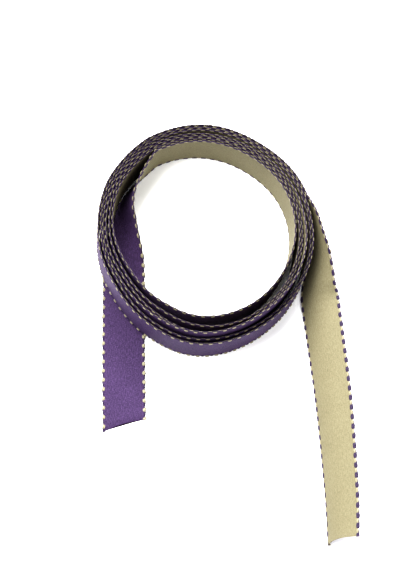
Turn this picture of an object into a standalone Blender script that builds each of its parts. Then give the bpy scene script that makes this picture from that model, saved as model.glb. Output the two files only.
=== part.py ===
"""A narrow two-colour woven ribbon, loosely coiled on its edge, with both cut ends left free.

Two woven plies lie back to back, purple outside and khaki inside, and a cord runs along each edge.
The ribbon starts at a cut end that lies flat on the table with its purple side up. It runs under the
coil, rolls up on to its edge inside the eye, winds clockwise for six turns and a third, and leaves
at the right, where it tips over with its khaki side up.

Metres, +Z up. Plan positions are measured from the coil's middle and moved to the object's frame
last. An azimuth is counter-clockwise from +X, seen from above.
"""
import math

import bpy
from mathutils import Vector

MM = 0.001

# The ribbon's section.
RIBBON_WIDTH = 10.0 * MM
THICKNESS = 0.40 * MM
PLY_THICKNESS = 0.17 * MM
EDGE_CORD_HEIGHT = 0.60 * MM
SEAM_GAP = 0.10 * MM          # between a ply and the cord beside it

# The coil. Radii are those of the upper edge.
COIL_MIDDLE = (-4.07 * MM, 22.20 * MM)
START_AZIMUTH = 120.0
WOUND_ANGLE = 6 * 360.0 + 100.0
LAYER_PITCH = 0.62 * MM
STEP = 12.0                   # degrees between stations
INNER_TURN = [23.35, 22.75, 21.85, 21.65, 21.35, 21.0, 21.25, 21.25, 20.4, 19.98, 21.3, 22.75, 23.97]
INNER_TURN_STEP = 30.0        # degrees between the innermost turn's radii
RIM_SHIFT = 0.88 * MM         # the upper rim stands this far to +X of the lower one

# Where a turn stands looser or tighter on the one inside it: turn, azimuth, half width in degrees,
# extra gap.
LOOSE_PLACES = [
    (2, 308, 75, 1.50 * MM),
    (2, 262, 60, 0.95 * MM),
    (2, 215, 55, 0.62 * MM),
    (3, 318, 30, -0.14 * MM),
    (3, 260, 50, 1.05 * MM),
    (3, 195, 40, 0.36 * MM),
    (4, 228, 45, 0.45 * MM),
    (4, 268, 25, 0.15 * MM),
    (4, 320, 60, 0.40 * MM),
    (5, 88, 40, 0.50 * MM),
    (5, 20, 60, 0.45 * MM),
    (5, 322, 55, 0.80 * MM),
    (5, 245, 40, 0.50 * MM),
    (5, 182, 20, -0.10 * MM),
    (5, 320, 60, -0.40 * MM),
    (6, 332, 22, -0.12 * MM),
    (6, 272, 45, 0.50 * MM),
    (6, 215, 45, 0.42 * MM),
]

# The coil's left side stands on the inner tail, which lies under it.
RAISED_BY = 1.0 * MM
RAISED_FROM, RAISED_TO = 157.0, 243.0
RAISED_FADE = 20.0

# The fourth turn has ridden up between the ones beside it, at the front and the right.
STEPPED_BY = 3.4 * MM
STEPPED_TURN, STEPPED_AZIMUTH, STEPPED_HALF = 4, 305.0, 115.0

# Routes of the lower edge outside the coil: x, y in mm, and the lean in degrees of the ribbon's
# lower and upper edge. 0 is upright, -90 lies flat to the right of the way it runs, 90 to the left.
INNER_TAIL = [
    (-23.35, -46.0, -90, -90),
    (-23.7, -35.2, -90, -90),
    (-24.0, -22.9, -90, -90),
    (-24.2, -10.6, -90, -88),
    (-24.15, -5.4, -90, -72),
    (-23.9, -1.9, -90, -50),
    (-23.45, 1.7, -90, -24),
    (-22.9, 4.9, -84, -10),
    (-22.0, 8.0, -64, -8),
    (-20.2, 11.45, -41, -9),
    (-17.7, 14.75, -26, -7),
    (-14.9, 17.75, -13, -5),
]
OUTER_TAIL = [
    (25.05, 4.4, 6, 10),
    (25.3, 0.0, 10, 19),
    (24.95, -4.45, 17, 36),
    (24.1, -7.95, 23, 56),
    (23.3, -11.0, 28, 72),
    (23.0, -13.3, 33, 80),
    (23.05, -15.8, 36, 83),
    (23.5, -20.0, 34, 83),
    (24.15, -25.7, 31, 84),
    (25.85, -40.9, 22, 84),
    (27.25, -60.5, 10, 82),
    (27.6, -71.6, 4, 75),
]
TAIL_STATION = 3.5 * MM       # spacing of stations along the tails
INNER_CUT_SLANT = 0.27        # how far each cut runs off square, per unit of width
OUTER_CUT_SLANT = 0.09
INNER_FOLD_Y = -29.0 * MM     # where each free tail begins, in y from the coil's middle
OUTER_FOLD_Y = -19.0 * MM
FOLD_GAP = 0.30 * MM

# The strips that run the ribbon's length: range across the width, range through the thickness
# (+ is the purple side) and segments across the width.
PLY_START = EDGE_CORD_HEIGHT + SEAM_GAP
PLY_END = RIBBON_WIDTH - PLY_START
HALF = THICKNESS / 2
STRIPS = {
    "purple_face": (PLY_START, PLY_END, HALF - PLY_THICKNESS, HALF, 3),
    "khaki_face": (PLY_START, PLY_END, -HALF, PLY_THICKNESS - HALF, 3),
    "lower_edge_cord": (0.0, EDGE_CORD_HEIGHT, -HALF, HALF, 1),
    "upper_edge_cord": (RIBBON_WIDTH - EDGE_CORD_HEIGHT, RIBBON_WIDTH, -HALF, HALF, 1),
}
COLOURS = {
    "purple_face": (0.105, 0.050, 0.185, 1.0),
    "khaki_face": (0.520, 0.455, 0.245, 1.0),
    "lower_edge_cord": (0.300, 0.240, 0.205, 1.0),
    "upper_edge_cord": (0.300, 0.240, 0.205, 1.0),
}


def clear_scene():
    for thing in list(bpy.data.objects):
        bpy.data.objects.remove(thing, do_unlink=True)


def bump(distance, half_width):
    """1 in the middle, falling smoothly to 0 at half_width."""
    if abs(distance) >= half_width:
        return 0.0
    return math.cos(math.pi / 2 * distance / half_width) ** 2


def smooth_step(value):
    value = min(max(value, 0.0), 1.0)
    return value * value * (3 - 2 * value)


def spline(values, place):
    """A smooth curve through evenly spaced values, tuples or numbers, at a fractional index."""
    index = min(max(int(place), 0), len(values) - 2)
    t = place - index
    before = values[index - 1] if index > 0 else None
    a, b = values[index], values[index + 1]
    after = values[index + 2] if index + 2 < len(values) else None
    if not isinstance(a, tuple):
        before = None if before is None else (before,)
        after = None if after is None else (after,)
        return spline_between(before, (a,), (b,), after, t)[0]
    return spline_between(before, a, b, after, t)


def spline_between(before, a, b, after, t):
    before = before or tuple(2 * p - q for p, q in zip(a, b))
    after = after or tuple(2 * q - p for p, q in zip(a, b))
    result = []
    for p0, p1, p2, p3 in zip(before, a, b, after):
        slope1, slope2 = (p2 - p0) / 2, (p3 - p1) / 2
        result.append(
            (2 * t ** 3 - 3 * t ** 2 + 1) * p1 + (t ** 3 - 2 * t ** 2 + t) * slope1
            + (3 * t ** 2 - 2 * t ** 3) * p2 + (t ** 3 - t ** 2) * slope2
        )
    return tuple(result)


def layer_gap(wound):
    """Extra room, beyond the layer pitch, between the ribbon here and the turn inside it."""
    total = 0.0
    for turn, azimuth, half_width, gap in LOOSE_PLACES:
        middle = (turn - 1) * 360.0 + (START_AZIMUTH - azimuth) % 360.0
        total += gap * bump(wound - middle, half_width)
    return total


def upper_radius(wound):
    """Radius of the upper rim, built up turn by turn from the innermost one."""
    if wound < 360.0:
        return spline(INNER_TURN, wound / INNER_TURN_STEP) * MM
    return upper_radius(wound - 360.0) + LAYER_PITCH + layer_gap(wound)


def raised(azimuth):
    """How high the coil's lower edge stands above the table."""
    azimuth = azimuth % 360.0
    rise = smooth_step((azimuth - RAISED_FROM + RAISED_FADE) / RAISED_FADE)
    fall = smooth_step((RAISED_TO + RAISED_FADE - azimuth) / RAISED_FADE)
    return RAISED_BY * min(rise, fall)


def coil_station(wound):
    """x, y, lower lean, upper lean and rise of the ribbon after winding this many degrees."""
    azimuth = START_AZIMUTH - wound
    cosine, sine = math.cos(math.radians(azimuth)), math.sin(math.radians(azimuth))
    shift = RIM_SHIFT * cosine
    radius = upper_radius(wound) - shift
    lean = math.degrees(math.asin(shift / RIBBON_WIDTH))
    middle = (STEPPED_TURN - 1) * 360.0 + (START_AZIMUTH - STEPPED_AZIMUTH) % 360.0
    rise = raised(azimuth) + STEPPED_BY * bump(wound - middle, STEPPED_HALF)
    return radius * cosine, radius * sine, lean, lean, rise


def tail_stations(route, before=None, after=None):
    """Stations along a tail's route, at about TAIL_STATION apart."""
    points = [(x * MM, y * MM, low, high, 0.0) for x, y, low, high in route]
    points = ([before] if before else []) + points + ([after] if after else [])
    stations = []
    for index in range(len(points) - 1):
        length = math.dist(points[index][:2], points[index + 1][:2])
        count = max(1, round(length / TAIL_STATION))
        stations += [spline(points, index + step / count) for step in range(count)]
    return stations + [points[-1]]


def ribbon_stations():
    """All stations from the inner cut end to the outer one."""
    coil = [coil_station(step * STEP) for step in range(int(WOUND_ANGLE / STEP) + 1)]
    inner = tail_stations(INNER_TAIL, after=coil[0])
    outer = tail_stations(OUTER_TAIL, before=coil[-1])
    return inner[:-1] + coil + outer[1:]


def directions(stations):
    """The unit direction in plan in which the ribbon runs, at each station."""
    result = []
    for index in range(len(stations)):
        back = stations[max(index - 1, 0)]
        ahead = stations[min(index + 1, len(stations) - 1)]
        result.append(Vector((ahead[0] - back[0], ahead[1] - back[1], 0)).normalized())
    return result


def section_point(station, direction, across, through):
    """A point of the section: across from the lower edge, through to the purple side."""
    x, y, low, high, rise = station
    low, high = math.radians(low), math.radians(high)
    lean = low + (high - low) * across / RIBBON_WIDTH
    if abs(high - low) < 1e-4:
        out, up = across * math.sin(low), across * math.cos(low)
    else:
        bend = (high - low) / RIBBON_WIDTH
        out, up = (math.cos(low) - math.cos(lean)) / bend, (math.sin(lean) - math.sin(low)) / bend
    out += through * math.cos(lean)
    up += HALF * abs(math.sin(low)) + max(rise, 0.0) - through * math.sin(lean)
    left = Vector((-direction.y, direction.x, 0))
    middle = Vector((COIL_MIDDLE[0], COIL_MIDDLE[1], 0))
    return middle + Vector((x, y, 0)) + left * out + Vector((0, 0, up))


def split_stations(stations):
    """The stations of the inner tail, the coil and the outer tail, parted at the fold lines."""
    ways = directions(stations)

    def crossing(indices, y):
        """The first place, of those between the listed stations, where the route meets this y."""
        for index in indices:
            a, b = stations[index], stations[index + 1]
            if (a[1] - y) * (b[1] - y) <= 0:
                t = (y - a[1]) / (b[1] - a[1])
                station = tuple(p + (q - p) * t for p, q in zip(a, b))
                return index, (station, ways[index].lerp(ways[index + 1], t).normalized())
        raise ValueError("no fold line")

    pairs = list(zip(stations, ways))
    forward = range(len(stations) - 1)
    inner, inner_end = crossing(forward, INNER_FOLD_Y - FOLD_GAP / 2)
    near, coil_start = crossing(forward, INNER_FOLD_Y + FOLD_GAP / 2)
    far, coil_end = crossing(forward[::-1], OUTER_FOLD_Y + FOLD_GAP / 2)
    outer, outer_start = crossing(forward[::-1], OUTER_FOLD_Y - FOLD_GAP / 2)
    return {
        "inner_tail": pairs[:inner + 1] + [inner_end],
        "coil": [coil_start] + pairs[near + 1:far + 1] + [coil_end],
        "outer_tail": [outer_start] + pairs[outer + 1:],
    }


def strip_mesh(name, pairs, strip, start_slant, end_slant):
    """A closed strip that runs through the stations."""
    low, high, under, over, segments = strip
    across = [low + (high - low) * step / segments for step in range(segments + 1)]
    rim = [(v, over) for v in across] + [(v, under) for v in reversed(across)]
    vertices = []
    for index, (station, way) in enumerate(pairs):
        slant = start_slant if index == 0 else end_slant if index == len(pairs) - 1 else 0.0
        for v, n in rim:
            vertices.append(section_point(station, way, v, n) + way * slant * v)
    size = len(rim)
    faces = []
    for ring in range(len(pairs) - 1):
        for corner in range(size):
            nxt = (corner + 1) % size
            a, b = ring * size + corner, ring * size + nxt
            if corner <= segments:
                faces += [(a, b, b + size), (a, b + size, a + size)]
            else:
                faces += [(a, b, a + size), (b, b + size, a + size)]
    last = (len(pairs) - 1) * size
    for corner in range(segments):
        opposite = size - 1 - corner
        faces.append((corner, opposite, opposite - 1, corner + 1))
        faces.append((last + corner, last + corner + 1, last + opposite - 1, last + opposite))
    mesh = bpy.data.meshes.new(name)
    mesh.from_pydata(vertices, [], faces)
    mesh.validate()
    mesh.shade_smooth()
    mesh.set_sharp_from_angle(angle=math.radians(40))
    return mesh


def material(name, colour):
    made = bpy.data.materials.new(name)
    made.use_nodes = True
    shader = made.node_tree.nodes["Principled BSDF"]
    shader.inputs["Base Color"].default_value = colour
    shader.inputs["Roughness"].default_value = 0.75
    shader.inputs["Metallic"].default_value = 0.0
    return made


def build():
    clear_scene()
    parts = split_stations(ribbon_stations())
    for part, pairs in parts.items():
        start_slant = INNER_CUT_SLANT if part == "inner_tail" else 0.0
        end_slant = -OUTER_CUT_SLANT if part == "outer_tail" else 0.0
        for strip_name, strip in STRIPS.items():
            name = f"{part}_{strip_name}"
            mesh = strip_mesh(name, pairs, strip, start_slant, end_slant)
            mesh.materials.append(material(name, COLOURS[strip_name]))
            bpy.context.scene.collection.objects.link(bpy.data.objects.new(name, mesh))


build()
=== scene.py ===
"""The two-colour ribbon as it looks: woven plies, whipped edges and cut ends, on a pale table.

The ribbon follows the same route as the CAD model. It is built in one pass from end to end, and
then divided only where a free tail begins to bend away from the coil.
"""
import math

import bpy
import numpy as np
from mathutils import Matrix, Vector


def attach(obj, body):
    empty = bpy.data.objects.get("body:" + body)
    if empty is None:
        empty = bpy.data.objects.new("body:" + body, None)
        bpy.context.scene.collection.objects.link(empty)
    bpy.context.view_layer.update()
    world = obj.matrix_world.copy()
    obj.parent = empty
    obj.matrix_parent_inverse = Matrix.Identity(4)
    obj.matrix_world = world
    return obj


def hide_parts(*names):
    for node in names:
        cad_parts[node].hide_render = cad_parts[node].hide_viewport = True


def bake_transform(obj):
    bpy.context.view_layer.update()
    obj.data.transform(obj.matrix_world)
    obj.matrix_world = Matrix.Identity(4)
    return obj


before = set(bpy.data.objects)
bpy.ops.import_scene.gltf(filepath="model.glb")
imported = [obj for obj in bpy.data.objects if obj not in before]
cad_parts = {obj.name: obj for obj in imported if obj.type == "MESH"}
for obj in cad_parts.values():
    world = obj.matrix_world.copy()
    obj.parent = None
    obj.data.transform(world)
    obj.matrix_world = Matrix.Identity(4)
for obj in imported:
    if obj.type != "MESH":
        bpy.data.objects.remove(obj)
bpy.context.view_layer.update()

MM = 0.001

# ---------------------------------------------------------------- the ribbon's route, as in the CAD
# Lengths are in mm and angles in degrees. Plan positions are measured from the coil's middle.
WIDTH = 10.0
THICKNESS = 0.40
COIL_MIDDLE = (-4.07, 22.20)
START_AZIMUTH = 120.0
WOUND_ANGLE = 6 * 360.0 + 100.0
LAYER_PITCH = 0.62
INNER_TURN = [23.35, 22.75, 21.85, 21.65, 21.35, 21.0, 21.25, 21.25, 20.4, 19.98, 21.3, 22.75, 23.97]
INNER_TURN_STEP = 30.0        # between the innermost turn's radii
RIM_SHIFT = 0.88              # the upper rim stands this far to +X of the lower one

# Where a turn stands looser or tighter on the one inside it: turn, azimuth, half width, extra gap.
LOOSE_PLACES = [
    (2, 308, 75, 1.50),
    (2, 262, 60, 0.95),
    (2, 215, 55, 0.62),
    (3, 318, 30, -0.14),
    (3, 260, 50, 1.05),
    (3, 195, 40, 0.36),
    (4, 228, 45, 0.45),
    (4, 268, 25, 0.15),
    (4, 320, 60, 0.40),
    (5, 88, 40, 0.50),
    (5, 20, 60, 0.45),
    (5, 322, 55, 0.80),
    (5, 245, 40, 0.50),
    (5, 182, 20, -0.10),
    (5, 320, 60, -0.40),
    (6, 332, 22, -0.12),
    (6, 272, 45, 0.50),
    (6, 215, 45, 0.42),
]

# The coil's left side stands on the inner tail, which lies under it.
RAISED_BY = 1.0
RAISED_FROM, RAISED_TO = 157.0, 243.0
RAISED_FADE = 20.0

# The fourth turn has ridden up between the ones beside it, at the front and the right.
STEPPED_BY = 3.4
STEPPED_TURN, STEPPED_AZIMUTH, STEPPED_HALF = 4, 305.0, 115.0

# Routes of the lower edge outside the coil: x, y, and the lean of the lower and upper edge.
# 0 is upright, -90 lies flat to the right of the way the ribbon runs, 90 to the left.
INNER_TAIL = [
    (-23.35, -46.0, -90, -90),
    (-23.7, -35.2, -90, -90),
    (-24.0, -22.9, -90, -90),
    (-24.2, -10.6, -90, -88),
    (-24.15, -5.4, -90, -72),
    (-23.9, -1.9, -90, -50),
    (-23.45, 1.7, -90, -24),
    (-22.9, 4.9, -84, -10),
    (-22.0, 8.0, -64, -8),
    (-20.2, 11.45, -41, -9),
    (-17.7, 14.75, -26, -7),
    (-14.9, 17.75, -13, -5),
]
OUTER_TAIL = [
    (25.05, 4.4, 6, 10),
    (25.3, 0.0, 10, 19),
    (24.95, -4.45, 17, 36),
    (24.1, -7.95, 23, 56),
    (23.3, -11.0, 28, 72),
    (23.0, -13.3, 33, 80),
    (23.05, -15.8, 36, 83),
    (23.5, -20.0, 34, 83),
    (24.15, -25.7, 31, 84),
    (25.85, -40.9, 22, 84),
    (27.25, -60.5, 10, 82),
    (27.6, -71.6, 4, 75),
]
INNER_CUT_SLANT = 0.26        # along the ribbon, for each mm across it
OUTER_CUT_SLANT = 0.09
INNER_FOLD_Y = -29.0
OUTER_FOLD_Y = -19.0

# ---------------------------------------------------------------- detail that the CAD leaves out
COIL_STEP = 2.0               # degrees between stations round the coil
TAIL_STEP = 0.8               # mm between stations along the tails
PLY = 0.19                    # thickness of each woven ply
EDGE_INSET = 0.30             # from the ribbon's edge to its plies, which the edge threads hide
ACROSS = 10                   # segments across a ply
STITCH = 2.2                  # one purple and one khaki turn of the whipped edge
STITCH_SHOW = 0.43            # how much of a stitch each thread shows on the other one's face
PURPLE_LONGER = 1.5           # purple stitches on the khaki face against khaki ones on the purple
STITCH_INSET = 0.30           # from the ribbon's edge to the middle of its stitches
THREAD_SIDES = 6
FOLD_SHARE = 2.0              # how far each tail piece reaches on to the coil side of its fold
CUT_REACH = 14.0              # how far from a cut the ribbon's material is slid
INNER_CUT_BOW = 0.55
OUTER_CUT_BOW = 0.40
CUT_THINNING = 0.7            # share of a ply's thickness lost at a cut
CUT_THINNING_FADE = 0.25
CURL_HEIGHT = 0.9             # of the outer end's lower corner
CURL_ALONG, CURL_ACROSS = 2.2, 2.6
CREASE_DEPTH = 0.16
CREASE_FROM_CUT, CREASE_ALONG = 1.6, 0.5
CREASE_FROM_EDGE, CREASE_ACROSS = 2.0, 0.7
PLY_STEP = 0.85               # mm between the rings of a ply
WARP_SPACING = 0.15
PICK_SPACING = 0.24
LOOSE_FADE = 6.0              # over which the edge threads go from pressed to loose
LAST_TURN_LOOSE = 1.6         # looseness of the lower edge under the last turn
LOWER_PHASE = 0.37            # of a stitch, between the lower and the upper edge's stitches
PURPLE_PRESSED, KHAKI_PRESSED = 0.03, -0.07
THREAD_UNEVEN = 0.018

# ---------------------------------------------------------------- table, lights and camera
TABLE_SIZE = 6.0              # metres
WORLD_STRENGTH = 0.60
LIGHTS = [                    # name, place in metres, diameter, watts; all face the origin
    ("key", (-0.36, 0.20, 0.73), 0.75, 14.5),
    ("back", (0.06, 0.62, 0.50), 0.60, 10.0),
    ("fill", (0.45, -0.30, 0.45), 0.50, 2.0),
]
CAMERA_TARGET = (-3.837, 11.871, 0.0)
CAMERA_ELEVATION = 71.0
CAMERA_DISTANCE = 0.300       # metres
CAMERA_SENSOR, CAMERA_LENS = 36.0, 79.6


def bump(distance, half_width):
    if abs(distance) >= half_width:
        return 0.0
    return math.cos(math.pi / 2 * distance / half_width) ** 2


def smooth_step(value):
    value = min(max(value, 0.0), 1.0)
    return value * value * (3 - 2 * value)


def hermite(before, a, b, after, t):
    slope1, slope2 = (b - before) / 2, (after - a) / 2
    return (
        (2 * t ** 3 - 3 * t ** 2 + 1) * a + (t ** 3 - 2 * t ** 2 + t) * slope1
        + (3 * t ** 2 - 2 * t ** 3) * b + (t ** 3 - t ** 2) * slope2
    )


def spline(values, place):
    """A smooth curve through evenly spaced rows of numbers, at a fractional index."""
    values = np.asarray(values, float)
    index = min(max(int(place), 0), len(values) - 2)
    a, b = values[index], values[index + 1]
    before = values[index - 1] if index > 0 else 2 * a - b
    after = values[index + 2] if index + 2 < len(values) else 2 * b - a
    return hermite(before, a, b, after, place - index)


def layer_gap(wound):
    total = 0.0
    for turn, azimuth, half_width, gap in LOOSE_PLACES:
        middle = (turn - 1) * 360.0 + (START_AZIMUTH - azimuth) % 360.0
        total += gap * bump(wound - middle, half_width)
    return total


def upper_radius(wound):
    if wound < 360.0:
        return float(spline(INNER_TURN, wound / INNER_TURN_STEP))
    return upper_radius(wound - 360.0) + LAYER_PITCH + layer_gap(wound)


def raised(azimuth):
    azimuth = azimuth % 360.0
    rise = smooth_step((azimuth - RAISED_FROM + RAISED_FADE) / RAISED_FADE)
    fall = smooth_step((RAISED_TO + RAISED_FADE - azimuth) / RAISED_FADE)
    return RAISED_BY * min(rise, fall)


def coil_station(wound):
    """x, y, lower lean, upper lean and rise after winding this many degrees."""
    azimuth = START_AZIMUTH - wound
    cosine, sine = math.cos(math.radians(azimuth)), math.sin(math.radians(azimuth))
    shift = RIM_SHIFT * cosine
    radius = upper_radius(wound) - shift
    lean = math.degrees(math.asin(shift / WIDTH))
    middle = (STEPPED_TURN - 1) * 360.0 + (START_AZIMUTH - STEPPED_AZIMUTH) % 360.0
    rise = raised(azimuth) + STEPPED_BY * bump(wound - middle, STEPPED_HALF)
    return radius * cosine, radius * sine, lean, lean, rise


def tail_stations(route, before=None, after=None):
    points = [(x, y, low, high, 0.0) for x, y, low, high in route]
    points = ([before] if before else []) + points + ([after] if after else [])
    stations = []
    for index in range(len(points) - 1):
        length = math.dist(points[index][:2], points[index + 1][:2])
        count = max(1, round(length / TAIL_STEP))
        stations += [tuple(spline(points, index + step / count)) for step in range(count)]
    return stations + [points[-1]]


coil = [coil_station(step * COIL_STEP) for step in range(int(WOUND_ANGLE / COIL_STEP) + 1)]
inner = tail_stations(INNER_TAIL, after=coil[0])
outer = tail_stations(OUTER_TAIL, before=coil[-1])
STATIONS = np.array(inner[:-1] + coil + outer[1:], float)


def section(stations, ways, across, through):
    """Points of the ribbon in metres: across from the lower edge, through to the purple side."""
    low, high = np.radians(stations[:, 2]), np.radians(stations[:, 3])
    lean = low + (high - low) * across / WIDTH
    bend = (high - low) / WIDTH
    bend = np.where(np.abs(bend) < 1e-5, 1e-5, bend)
    out = (np.cos(low) - np.cos(low + bend * across)) / bend + through * np.cos(lean)
    up = (np.sin(low + bend * across) - np.sin(low)) / bend - through * np.sin(lean)
    up = up + THICKNESS / 2 * np.abs(np.sin(low)) + np.maximum(stations[:, 4], 0.0)
    left = np.stack([-ways[:, 1], ways[:, 0]], 1)
    plan = np.array(COIL_MIDDLE) + stations[:, :2] + left * out[:, None]
    return np.column_stack([plan, up]) * MM


def directions(stations):
    ahead = np.roll(stations[:, :2], -1, 0)
    back = np.roll(stations[:, :2], 1, 0)
    ahead[-1], back[0] = stations[-1, :2], stations[0, :2]
    way = ahead - back
    return way / np.linalg.norm(way, axis=1)[:, None]


WAYS = directions(STATIONS)
MIDLINE = section(STATIONS, WAYS, WIDTH / 2, 0.0) / MM
RUN = np.concatenate([[0.0], np.cumsum(np.linalg.norm(np.diff(MIDLINE, axis=0), axis=1))])
LENGTH = float(RUN[-1])


def resample(runs):
    """Stations and directions at these distances along the ribbon."""
    stations = np.column_stack([np.interp(runs, RUN, STATIONS[:, k]) for k in range(5)])
    ways = np.column_stack([np.interp(runs, RUN, WAYS[:, k]) for k in range(2)])
    return stations, ways / np.linalg.norm(ways, axis=1)[:, None]


def run_at_y(y, from_end):
    """How far along the ribbon its midline crosses this y, from the coil's middle."""
    side = STATIONS[:, 1] - y
    found = np.nonzero(side[:-1] * side[1:] <= 0)[0]
    index = found[-1] if from_end else found[0]
    t = side[index] / (side[index] - side[index + 1])
    return float(RUN[index] + t * (RUN[index + 1] - RUN[index]))


INNER_FOLD = run_at_y(INNER_FOLD_Y, False)
OUTER_FOLD = run_at_y(OUTER_FOLD_Y, True)
REGIONS = {
    "inner_tail": (0.0, INNER_FOLD + FOLD_SHARE),
    "coil": (INNER_FOLD + FOLD_SHARE, OUTER_FOLD - FOLD_SHARE),
    "outer_tail": (OUTER_FOLD - FOLD_SHARE, LENGTH),
}


def cut_offset(runs, across):
    """How far the ribbon's material is slid along itself near its two slanting cuts."""
    near_start = np.clip(1 - runs / CUT_REACH, 0, 1) ** 2
    near_end = np.clip(1 - (LENGTH - runs) / CUT_REACH, 0, 1) ** 2
    bow = np.sin(np.pi * across / WIDTH)
    start = INNER_CUT_SLANT * across + INNER_CUT_BOW * bow
    end = -OUTER_CUT_SLANT * across - OUTER_CUT_BOW * bow
    return near_start * start + near_end * end


def ribbon_points(runs, across, through):
    """Points on a ply, which thins towards its cuts, and whose outer end has one curled corner."""
    stations, ways = resample(runs)
    from_cut = np.minimum(runs, LENGTH - runs)
    thin = 1 - CUT_THINNING * np.exp(-from_cut / CUT_THINNING_FADE)
    khaki_side = -THICKNESS / 2
    points = section(stations, ways, across, khaki_side + (through - khaki_side) * thin)
    slide = cut_offset(runs, across)
    points[:, :2] += ways * slide[:, None] * MM
    corner = np.clip(1 - (LENGTH - runs) / CURL_ALONG, 0, 1) * np.clip(1 - across / CURL_ACROSS, 0, 1)
    points[:, 2] += CURL_HEIGHT * corner ** 1.5 * MM
    along = (LENGTH - runs - CREASE_FROM_CUT) / CREASE_ALONG
    crease = np.exp(-along ** 2 - ((across - CREASE_FROM_EDGE) / CREASE_ACROSS) ** 2)
    points[:, 2] -= CREASE_DEPTH * crease * MM
    points[:, 2] = np.maximum(points[:, 2], 0.0)
    return points


# ---------------------------------------------------------------- materials
def new_material(name):
    made = bpy.data.materials.new(name)
    made.use_nodes = True
    nodes = made.node_tree.nodes
    shader = nodes["Principled BSDF"]
    return made, nodes, made.node_tree.links, shader


def math_node(nodes, links, operation, *values):
    node = nodes.new("ShaderNodeMath")
    node.operation = operation
    for slot, value in enumerate(values):
        if isinstance(value, (int, float)):
            node.inputs[slot].default_value = value
        else:
            links.new(value, node.inputs[slot])
    return node.outputs[0]


def ramp(nodes, links, factor, stops):
    node = nodes.new("ShaderNodeValToRGB")
    links.new(factor, node.inputs["Fac"])
    elements = node.color_ramp.elements
    while len(elements) < len(stops):
        elements.new(0.5)
    for element, (place, colour) in zip(elements, stops):
        element.position = place
        element.color = (*colour, 1.0)
    return node.outputs["Color"]


def noise(nodes, links, vector, scale, detail=2.0, roughness=0.5):
    node = nodes.new("ShaderNodeTexNoise")
    node.inputs["Scale"].default_value = scale
    node.inputs["Detail"].default_value = detail
    node.inputs["Roughness"].default_value = roughness
    links.new(vector, node.inputs["Vector"])
    return node.outputs["Fac"]


def weave_material(name, dark, middle, light, sheen_tint, sheen):
    """A close plain weave: fine warp ends along the ribbon, slightly uneven picks across it."""
    made, nodes, links, shader = new_material(name)
    uv = nodes.new("ShaderNodeUVMap")
    uv.uv_map = "ribbon_mm"
    split = nodes.new("ShaderNodeSeparateXYZ")
    links.new(uv.outputs["UV"], split.inputs[0])
    along, across = split.outputs["X"], split.outputs["Y"]
    # Warp ends and picks, over and under each other.
    ends = math_node(nodes, links, "MULTIPLY", across, math.pi / WARP_SPACING)
    picks = math_node(nodes, links, "MULTIPLY", along, math.pi / PICK_SPACING)
    ends = math_node(nodes, links, "SINE", ends)
    picks = math_node(nodes, links, "SINE", picks)
    cloth = math_node(nodes, links, "MULTIPLY", ends, picks)
    # Yarn that is thicker and thinner along its length.
    stretch = nodes.new("ShaderNodeMapping")
    stretch.inputs["Scale"].default_value = (0.45, 1.6, 1.0)
    links.new(uv.outputs["UV"], stretch.inputs["Vector"])
    slub = noise(nodes, links, stretch.outputs["Vector"], 2.6, 3.0, 0.65)
    grain = noise(nodes, links, uv.outputs["UV"], 3.4, 2.0, 0.7)
    cloud = noise(nodes, links, uv.outputs["UV"], 0.12, 2.0, 0.5)
    value = math_node(nodes, links, "MULTIPLY", cloth, 0.10)
    part = math_node(nodes, links, "MULTIPLY", slub, 0.55)
    value = math_node(nodes, links, "ADD", value, part)
    part = math_node(nodes, links, "MULTIPLY", grain, 0.60)
    value = math_node(nodes, links, "ADD", value, part)
    part = math_node(nodes, links, "MULTIPLY", cloud, 0.16)
    value = math_node(nodes, links, "ADD", value, part)
    value = math_node(nodes, links, "SUBTRACT", value, 0.15)
    colour = ramp(nodes, links, value, [(0.22, dark), (0.5, middle), (0.80, light)])
    links.new(colour, shader.inputs["Base Color"])
    rough = math_node(nodes, links, "MULTIPLY", grain, 0.25)
    rough = math_node(nodes, links, "ADD", rough, 0.55)
    links.new(rough, shader.inputs["Roughness"])
    shader.inputs["Specular IOR Level"].default_value = 0.12
    shader.inputs["Sheen Weight"].default_value = sheen
    shader.inputs["Sheen Roughness"].default_value = 0.45
    shader.inputs["Sheen Tint"].default_value = (*sheen_tint, 1.0)
    height = math_node(nodes, links, "MULTIPLY", cloth, 0.5)
    height = math_node(nodes, links, "ADD", height, slub)
    bumps = nodes.new("ShaderNodeBump")
    bumps.inputs["Strength"].default_value = 0.45
    bumps.inputs["Distance"].default_value = 0.00006
    links.new(height, bumps.inputs["Height"])
    links.new(bumps.outputs["Normal"], shader.inputs["Normal"])
    return made


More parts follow.
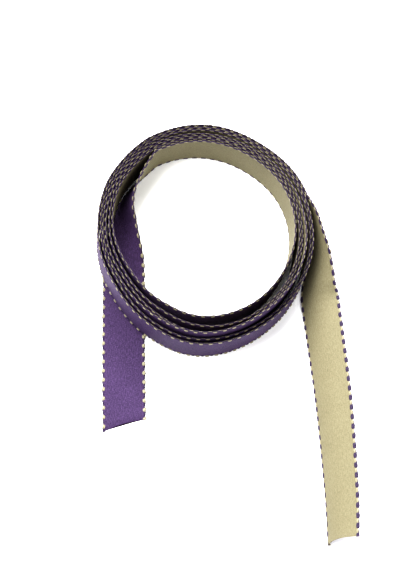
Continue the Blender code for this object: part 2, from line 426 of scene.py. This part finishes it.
def thread_material(name, dark, light, sheen_tint):
    """Twisted multifilament thread: fine slanting filaments round the strand."""
    made, nodes, links, shader = new_material(name)
    uv = nodes.new("ShaderNodeUVMap")
    uv.uv_map = "ribbon_mm"
    split = nodes.new("ShaderNodeSeparateXYZ")
    links.new(uv.outputs["UV"], split.inputs[0])
    along = math_node(nodes, links, "MULTIPLY", split.outputs["X"], 9.0)
    around = math_node(nodes, links, "MULTIPLY", split.outputs["Y"], 2 * math.pi * 4)
    twist = math_node(nodes, links, "ADD", along, around)
    filament = math_node(nodes, links, "SINE", twist)
    fuzz = noise(nodes, links, uv.outputs["UV"], 5.0, 2.0, 0.6)
    value = math_node(nodes, links, "MULTIPLY", filament, 0.16)
    value = math_node(nodes, links, "ADD", value, fuzz)
    colour = ramp(nodes, links, value, [(0.25, dark), (0.75, light)])
    links.new(colour, shader.inputs["Base Color"])
    shader.inputs["Roughness"].default_value = 0.6
    shader.inputs["Specular IOR Level"].default_value = 0.3
    shader.inputs["Sheen Weight"].default_value = 0.08
    shader.inputs["Sheen Tint"].default_value = (*sheen_tint, 1.0)
    bumps = nodes.new("ShaderNodeBump")
    bumps.inputs["Strength"].default_value = 0.5
    bumps.inputs["Distance"].default_value = 0.00004
    links.new(filament, bumps.inputs["Height"])
    links.new(bumps.outputs["Normal"], shader.inputs["Normal"])
    return made


PURPLE = weave_material(
    "purple_weave_cloth", (0.013, 0.0062, 0.024), (0.046, 0.0275, 0.068), (0.092, 0.053, 0.138),
    (0.62, 0.52, 0.85), 0.02,
)
KHAKI = weave_material(
    "khaki_weave_cloth", (0.106, 0.095, 0.058), (0.153, 0.138, 0.086), (0.212, 0.194, 0.127),
    (1.0, 0.95, 0.78), 0.02,
)
PURPLE_THREAD = thread_material(
    "purple_thread", (0.010, 0.005, 0.019), (0.036, 0.019, 0.060), (0.6, 0.5, 0.8)
)
KHAKI_THREAD = thread_material(
    "khaki_thread", (0.165, 0.146, 0.092), (0.300, 0.278, 0.190), (1.0, 0.95, 0.8)
)


# ---------------------------------------------------------------- meshes
def grid_object(name, points, uv, size, material):
    """A capped tube. points is rings x size; uv is the same with one more column for the seam."""
    rings = len(points) // size
    faces = []
    corners = []
    for ring in range(rings - 1):
        for corner in range(size):
            after = (corner + 1) % size
            a, b = ring * size + corner, ring * size + after
            faces.append((a, b, b + size, a + size))
            c, d = ring * (size + 1) + corner, ring * (size + 1) + corner + 1
            corners += [c, d, d + size + 1, c + size + 1]
    last = (rings - 1) * size
    faces.append(tuple(range(size - 1, -1, -1)))
    corners += range(size - 1, -1, -1)
    faces.append(tuple(last + corner for corner in range(size)))
    start = (rings - 1) * (size + 1)
    corners += [start + corner for corner in range(size)]
    mesh = bpy.data.meshes.new(name)
    mesh.from_pydata([tuple(p) for p in points], [], faces)
    layer = mesh.uv_layers.new(name="ribbon_mm")
    layer.data.foreach_set("uv", np.asarray(uv, np.float32)[corners].ravel())
    mesh.shade_smooth()
    mesh.set_sharp_from_angle(angle=math.radians(50))
    mesh.materials.append(material)
    made = bpy.data.objects.new(name, mesh)
    bpy.context.scene.collection.objects.link(made)
    return made


def region_runs(region, spacing):
    start, end = REGIONS[region]
    count = max(2, round((end - start) / spacing))
    return np.linspace(start, end, count + 1)


def ply_object(region, side, material):
    """One woven ply. Its faces are very slightly quilted by the weft's pull near the edges."""
    runs = region_runs(region, PLY_STEP)
    low, high = EDGE_INSET, WIDTH - EDGE_INSET
    over = THICKNESS / 2
    under = over - PLY
    if side < 0:
        over, under = -under, -over
    across = [low + (high - low) * step / ACROSS for step in range(ACROSS + 1)]
    rim = [(v, over) for v in across] + [(v, under) for v in reversed(across)]
    rings = []
    uv = []
    for v, n in rim:
        outer = (n > 0.1) if side > 0 else (n < -0.1)
        thin = 0.035 * math.exp(-(min(v, WIDTH - v) - low) / 0.5) if outer else 0.0
        rings.append(ribbon_points(runs, v, n - side * thin))
    points = np.stack(rings, 1).reshape(-1, 3)
    for run in runs:
        uv += [(run, v + (0.0 if n * side > 0.05 else 20.0)) for v, n in rim]
        uv.append((run, rim[0][0]))
    return grid_object(f"{region}_{'purple' if side > 0 else 'khaki'}_weave", points, uv,
                       len(rim), material)


def thread_sections():
    """Where each strand runs within one stitch: rows of place, side, outward, half width, half depth.

    Side is +1 on the purple face and -1 on the khaki one. Khaki thread crosses the rim thin and
    fast; purple thread crosses it full, so that the rim is mostly purple.
    """
    show = STITCH_SHOW
    khaki, purple = [], []
    for place in (0.0, 0.05, 0.13, show / 2, show - 0.13, show - 0.05):
        swell = math.sin(math.pi * (place + 0.03) / (show + 0.06)) ** 0.7
        khaki.append((place, 1.3 if place else 0.0, 0.0 if place else -0.10,
                      0.12 + 0.19 * swell, 0.08 + 0.06 * swell))
        longer = show / 2 + (place - show / 2) * PURPLE_LONGER
        purple.append((longer, -1.2 if place else 0.0, 0.0 if place else 0.13,
                       0.16 + 0.18 * swell, 0.08 + 0.05 * swell))
    khaki.append((show, 0.0, 0.12, 0.09, 0.08))
    purple.append((show / 2 * (1 + PURPLE_LONGER), 0.0, -0.10, 0.10, 0.09))
    for part in (-1, 0, 1):
        middle = part == 0
        place = (1 + show) / 2
        khaki.append((place + 0.215 * part, -1.3, -0.03, 0.20 if middle else 0.13,
                      0.10 if middle else 0.08))
        purple.append((place + 0.12 * part, 0.45, 0.01, 0.21 if middle else 0.18,
                       0.17 if middle else 0.14))
    return {"khaki": khaki, "purple": purple}


THREAD_SECTIONS = thread_sections()


def looseness(runs, edge):
    """0 where the turns press the edge threads flat, 1 in the tails, more under the last turn."""
    coil_start, coil_end = RUN[len(inner) - 1], RUN[len(inner) - 1 + len(coil)]
    last_turn = RUN[len(inner) - 1 + int((WOUND_ANGLE - 360.0) / COIL_STEP)]
    before = np.clip(1 - (runs - coil_start) / LOOSE_FADE, 0, 1)
    after = np.clip((runs - coil_end) / LOOSE_FADE + 1, 0, 1)
    most = LAST_TURN_LOOSE if edge == "lower" else 0.0
    under = np.clip((runs - last_turn) / LOOSE_FADE, 0, 1) * most
    return np.maximum(np.maximum(before, after), under * (1 - after))


def thread_object(region, edge, colour, material):
    """One strand of the two that are whipped round an edge, so that each shows on both faces."""
    start, end = REGIONS[region]
    place = 0.0 if edge == "lower" else WIDTH
    if start == 0.0:
        start = INNER_CUT_SLANT * place
    if end == LENGTH:
        end = LENGTH - OUTER_CUT_SLANT * place
    phase = LOWER_PHASE if edge == "lower" else 0.0
    runs, rows = [], []
    for stitch in range(int(start / STITCH) - 1, int(end / STITCH) + 2):
        for row in THREAD_SECTIONS[colour]:
            run = (stitch + row[0] + phase) * STITCH
            if start <= run <= end:
                runs.append(run)
                rows.append(row)
    runs, rows = np.array([start] + runs + [end]), np.array([rows[0]] + rows + [rows[-1]])
    keep = np.concatenate([[True], np.diff(runs) > 1e-6])
    runs, rows = runs[keep], rows[keep]
    loose = looseness(runs, edge)
    outward = -1.0 if edge == "lower" else 1.0
    middle = STITCH_INSET if edge == "lower" else WIDTH - STITCH_INSET
    rng = np.random.default_rng(len(runs) + int(10 * outward))
    uneven = rng.normal(0.0, THREAD_UNEVEN, len(runs))
    pressed = PURPLE_PRESSED if colour == "purple" else KHAKI_PRESSED
    centre_v = middle + outward * (rows[:, 2] + pressed * (1 - loose)) + uneven
    centre_n = 0.10 * rows[:, 1] * (1 + 0.35 * loose)
    half_v = rows[:, 3] * (1 + 0.20 * loose)
    half_n = 0.9 * rows[:, 4] * (1 + 0.45 * loose)
    rings, uv_around = [], []
    for side in range(THREAD_SIDES):
        angle = 2 * math.pi * side / THREAD_SIDES
        v = centre_v + half_v * math.cos(angle)
        n = centre_n + half_n * math.sin(angle)
        rings.append(thread_points(runs, v, n))
        uv_around.append(side / THREAD_SIDES)
    points = np.stack(rings, 1).reshape(-1, 3)
    uv = [(run, around) for run in runs for around in uv_around + [1.0]]
    return grid_object(f"{region}_{edge}_{colour}_thread", points, uv, THREAD_SIDES, material)


def thread_points(runs, across, through):
    stations, ways = resample(runs)
    points = section(stations, ways, across, through)
    points[:, 2] = np.maximum(points[:, 2], 0.0)
    return points


for region, (start, end) in REGIONS.items():
    purple = ply_object(region, 1, PURPLE)
    khaki = ply_object(region, -1, KHAKI)
    threads = [
        thread_object(region, edge, colour, material)
        for edge in ("lower", "upper")
        for colour, material in (("purple", PURPLE_THREAD), ("khaki", KHAKI_THREAD))
    ]
    for piece in [purple, khaki] + threads:
        if region == "coil":
            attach(piece, "coil")
        else:
            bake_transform(piece)
    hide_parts(f"{region}_purple_face")
    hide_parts(f"{region}_khaki_face")
    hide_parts(f"{region}_lower_edge_cord")
    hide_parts(f"{region}_upper_edge_cord")


# ---------------------------------------------------------------- the stage
def table():
    bpy.ops.mesh.primitive_plane_add(size=TABLE_SIZE, location=(0, 0, 0))
    made = bpy.context.object
    made.name = "table"
    material, _, _, shader = new_material("white_table")
    shader.inputs["Base Color"].default_value = (0.95, 0.95, 0.95, 1.0)
    shader.inputs["Roughness"].default_value = 0.9
    shader.inputs["Specular IOR Level"].default_value = 0.1
    made.data.materials.append(material)


def area_light(name, place, size, power):
    data = bpy.data.lights.new(name, "AREA")
    data.shape = "DISK"
    data.size = size
    data.energy = power
    lamp = bpy.data.objects.new(name, data)
    lamp.location = place
    lamp.rotation_euler = (-Vector(place)).to_track_quat("-Z", "Y").to_euler()
    bpy.context.scene.collection.objects.link(lamp)


def light_and_camera():
    scene = bpy.context.scene
    scene.view_settings.view_transform = "Standard"
    scene.view_settings.look = "High Contrast"
    world = bpy.data.worlds.new("studio")
    world.use_nodes = True
    background = world.node_tree.nodes["Background"]
    background.inputs["Color"].default_value = (1.0, 1.0, 1.0, 1.0)
    background.inputs["Strength"].default_value = WORLD_STRENGTH
    scene.world = world
    for light in LIGHTS:
        area_light(*light)
    elevation = math.radians(CAMERA_ELEVATION)
    away = Vector((0, -math.cos(elevation), math.sin(elevation))) * CAMERA_DISTANCE
    data = bpy.data.cameras.new("camera")
    data.sensor_width = CAMERA_SENSOR
    data.lens = CAMERA_LENS
    data.clip_start = 0.01
    data.clip_end = 50.0
    camera = bpy.data.objects.new("camera", data)
    camera.location = Vector(CAMERA_TARGET) * MM + away
    camera.rotation_euler = (math.radians(90 - CAMERA_ELEVATION), 0, 0)
    scene.collection.objects.link(camera)
    scene.camera = camera


table()
light_and_camera()
